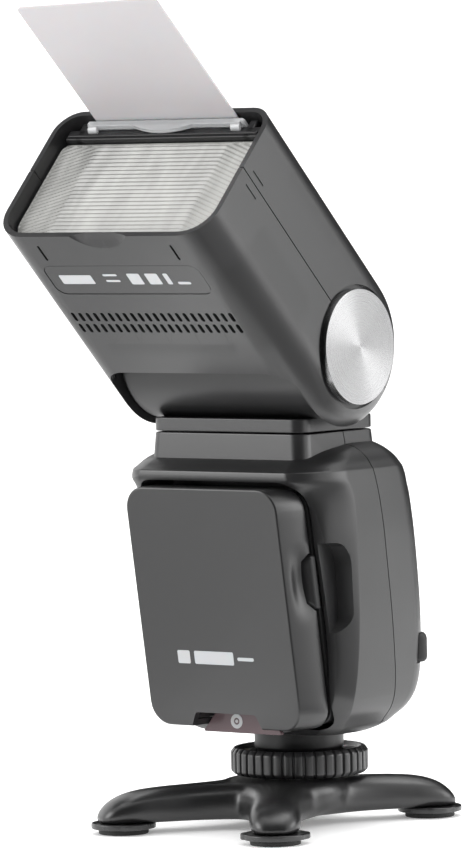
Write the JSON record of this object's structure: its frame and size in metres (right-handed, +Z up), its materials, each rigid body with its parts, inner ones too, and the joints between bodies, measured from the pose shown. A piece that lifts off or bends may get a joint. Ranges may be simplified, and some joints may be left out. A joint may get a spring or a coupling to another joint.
{
  "type": "speedlight flash",
  "caption": "Shoe-mount speedlight with a tilting and swivelling lamp head, bounce card, front battery pack and a four-legged desk stand.",
  "frame": {"origin": "centre of the bounding box in X and Y, on the surface that the stand's pads rest on", "axes": "+Z up, -Y towards the lens side and the battery pack, +X to the right when looking along +Y"},
  "size_m": [0.0788, 0.1249, 0.237],
  "materials": {
    "body_plastic": "fine matte texture",
    "dark_plastic": "satin",
    "stand_plastic": "smooth, slightly glossy",
    "rubber": "matte",
    "spun_aluminium": "spun brushed",
    "steel": "plain",
    "brass": "turned",
    "lens": "clear ribbed acrylic",
    "clear_panel": "clear",
    "white_card": "translucent matte",
    "sensor_window": "tinted",
    "screen": "glossy",
    "display": "plain",
    "circuit_board": "lacquered",
    "cell_wrap": "shrink film",
    "reflector": "polished",
    "tube_glass": "clear",
    "test_lamp": "translucent"
  },
  "bodies": {
    "stand": {"stand_base": "stand_plastic", "tripod_insert": "brass", "pad_front_left": "rubber", "pad_front_right": "rubber", "pad_rear_left": "rubber", "pad_rear_right": "rubber"},
    "flash": {"shoe_foot": "steel", "contact_block": "dark_plastic", "contact_centre": "brass", "contact_side_1": "brass", "contact_side_2": "brass", "contact_side_3": "brass", "contact_side_4": "brass", "foot_collar": "dark_plastic", "body_front_shell": "body_plastic", "body_rear_shell": "body_plastic", "sensor_window": "sensor_window", "sensor_lens": "clear_panel", "screen_window": "screen", "screen_module": "display", "main_board": "circuit_board", "main_capacitor": "cell_wrap", "swivel_retainer": "steel"},
    "wheel": {"lock_wheel": "body_plastic"},
    "pin": {"lock_pin": "steel"},
    "battery": {"battery_cover": "body_plastic", "battery_case": "dark_plastic", "battery_cell_1": "cell_wrap", "battery_cell_2": "cell_wrap"},
    "release_button_right": {"release_right": "dark_plastic"},
    "release_button_left": {"release_left": "dark_plastic"},
    "menu_key_1": {"key_1": "rubber"},
    "menu_key_2": {"key_2": "rubber"},
    "menu_key_3": {"key_3": "rubber"},
    "menu_key_4": {"key_4": "rubber"},
    "dial": {"select_dial": "dark_plastic"},
    "set": {"set_button": "dark_plastic"},
    "switch": {"power_switch": "dark_plastic"},
    "test": {"test_button": "test_lamp"},
    "port_flap": {"port_cover": "rubber"},
    "turret": {"yoke": "body_plastic", "swivel_shaft": "steel", "trunnion_left": "steel", "trunnion_right": "steel"},
    "head": {"head_upper_shell": "body_plastic", "head_lower_shell": "body_plastic", "fresnel_lens": "lens", "slot_frame": "dark_plastic", "tilt_disc_left": "spun_aluminium", "tilt_disc_right": "spun_aluminium", "trigger_board": "circuit_board", "zoom_motor": "steel", "guide_rod": "steel"},
    "screw": {"zoom_screw": "brass"},
    "carriage": {"reflector": "reflector", "flash_tube": "tube_glass", "zoom_carriage": "dark_plastic"},
    "card": {"bounce_card": "white_card"},
    "panel": {"wide_panel": "clear_panel"}
  },
  "joints": [
    {"name": "stand_slide", "type": "slide", "parent": "stand", "child": "flash", "axis": [0, 1, 0], "range_m": [0, 0.02]},
    {"name": "lock_wheel_turn", "type": "hinge", "parent": "flash", "child": "wheel", "pos_m": [0, 0.0268, 0.018], "axis": [0, 0, 1], "range_deg": [0, 300]},
    {"name": "lock_pin_lift", "type": "slide", "parent": "flash", "child": "pin", "axis": [0, 0, 1], "range_m": [0, 0.00151]},
    {"name": "battery_slide", "type": "slide", "parent": "flash", "child": "battery", "axis": [0, -1, 0], "range_m": [0, 0.03]},
    {"name": "release_right_press", "type": "slide", "parent": "battery", "child": "release_button_right", "axis": [-1, 0, 0], "range_m": [0, 0.001], "stiffness_N_per_m": 400},
    {"name": "release_left_press", "type": "slide", "parent": "battery", "child": "release_button_left", "axis": [1, 0, 0], "range_m": [0, 0.001], "stiffness_N_per_m": 400},
    {"name": "key_1_press", "type": "slide", "parent": "flash", "child": "menu_key_1", "axis": [0, -1, 0], "range_m": [0, 0.0006], "stiffness_N_per_m": 400},
    {"name": "key_2_press", "type": "slide", "parent": "flash", "child": "menu_key_2", "axis": [0, -1, 0], "range_m": [0, 0.0006], "stiffness_N_per_m": 400},
    {"name": "key_3_press", "type": "slide", "parent": "flash", "child": "menu_key_3", "axis": [0, -1, 0], "range_m": [0, 0.0006], "stiffness_N_per_m": 400},
    {"name": "key_4_press", "type": "slide", "parent": "flash", "child": "menu_key_4", "axis": [0, -1, 0], "range_m": [0, 0.0006], "stiffness_N_per_m": 400},
    {"name": "dial_turn", "type": "hinge", "parent": "flash", "child": "dial", "pos_m": [0, 0.0442, 0.051], "axis": [0, 1, 0], "continuous": true},
    {"name": "set_press", "type": "slide", "parent": "flash", "child": "set", "axis": [0, -1, 0], "range_m": [0, 0.0006], "stiffness_N_per_m": 400},
    {"name": "power_switch_slide", "type": "slide", "parent": "flash", "child": "switch", "axis": [0, 0, 1], "range_m": [0, 0.003]},
    {"name": "test_press", "type": "slide", "parent": "flash", "child": "test", "axis": [0, -1, 0], "range_m": [0, 0.0006], "stiffness_N_per_m": 400},
    {"name": "port_cover_open", "type": "hinge", "parent": "flash", "child": "port_flap", "pos_m": [0.03676, 0.0368, 0.05085], "axis": [0, 0, -1], "range_deg": [0, 90]},
    {"name": "head_swivel", "type": "hinge", "parent": "flash", "child": "turret", "pos_m": [0, 0.0125, 0.1147], "axis": [0, 0, 1], "range_deg": [-150, 180]},
    {"name": "head_tilt", "type": "hinge", "parent": "turret", "child": "head", "pos_m": [0, 0.0067, 0.139], "axis": [-1, 0, 0], "range_deg": [-44, 46]},
    {"name": "zoom_slide", "type": "slide", "parent": "head", "child": "carriage", "axis": [0, -0.7193, 0.6947], "range_m": [-0.01, 0.01]},
    {"name": "zoom_screw_turn", "type": "hinge", "parent": "head", "child": "screw", "pos_m": [0.0316, -0.0318, 0.15671], "axis": [0, -0.7193, 0.6947], "range_deg": [-361, 361]},
    {"name": "bounce_card_slide", "type": "slide", "parent": "head", "child": "card", "axis": [0, -0.7193, 0.6947], "range_m": [-0.045, 0]},
    {"name": "wide_panel_slide", "type": "slide", "parent": "head", "child": "panel", "axis": [0, -0.7193, 0.6947], "range_m": [0, 0.04]}
  ],
  "couplings": [
    {"joint": "lock_pin_lift", "follows": "lock_wheel_turn", "m_per_rad": 0.00028648},
    {"joint": "zoom_screw_turn", "follows": "zoom_slide", "rad_per_m": 628.32}
  ]
}
